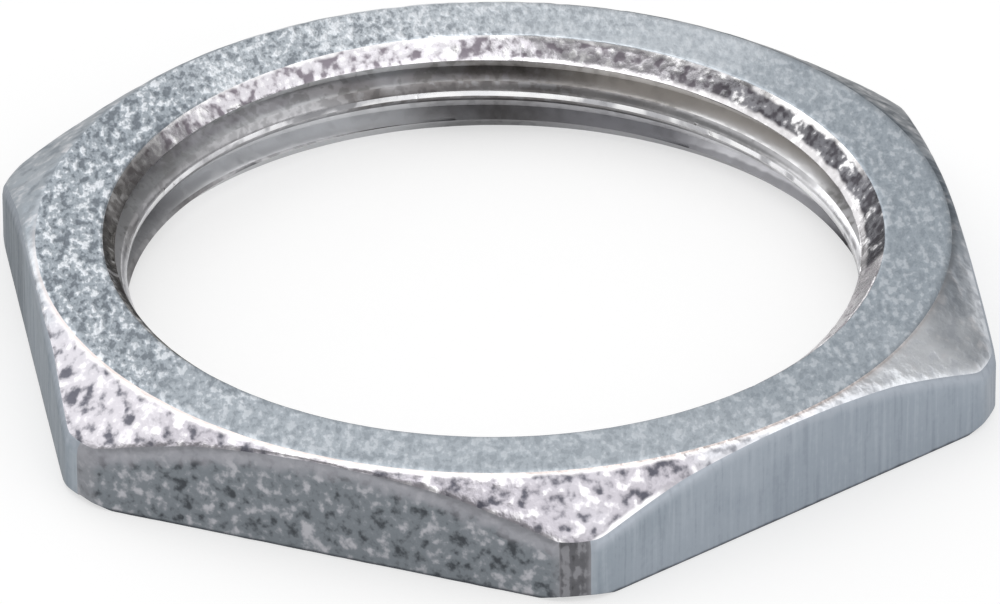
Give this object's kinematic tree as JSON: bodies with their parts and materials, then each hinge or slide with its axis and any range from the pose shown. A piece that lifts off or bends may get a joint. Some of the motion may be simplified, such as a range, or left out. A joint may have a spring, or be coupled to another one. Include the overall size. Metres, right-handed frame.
{
  "type": "cable gland locknut",
  "caption": "Thin hexagon locknut for a cable gland, with a fine right-hand internal thread, a chamfered top face and a plain seating face.",
  "frame": {"origin": "on the thread's axis, in the plane of the plain seating face", "axes": "+Z along the thread's axis, from the seating face to the chamfered face; two corners of the hexagon on the X axis, two flats facing +Y and -Y"},
  "size_m": [0.034, 0.03, 0.0035],
  "materials": {
    "plated_metal": "matt nickel plating over brass, finely blasted, with brighter edges"
  },
  "bodies": {
    "root": {"locknut": "plated_metal"}
  },
  "joints": []
}
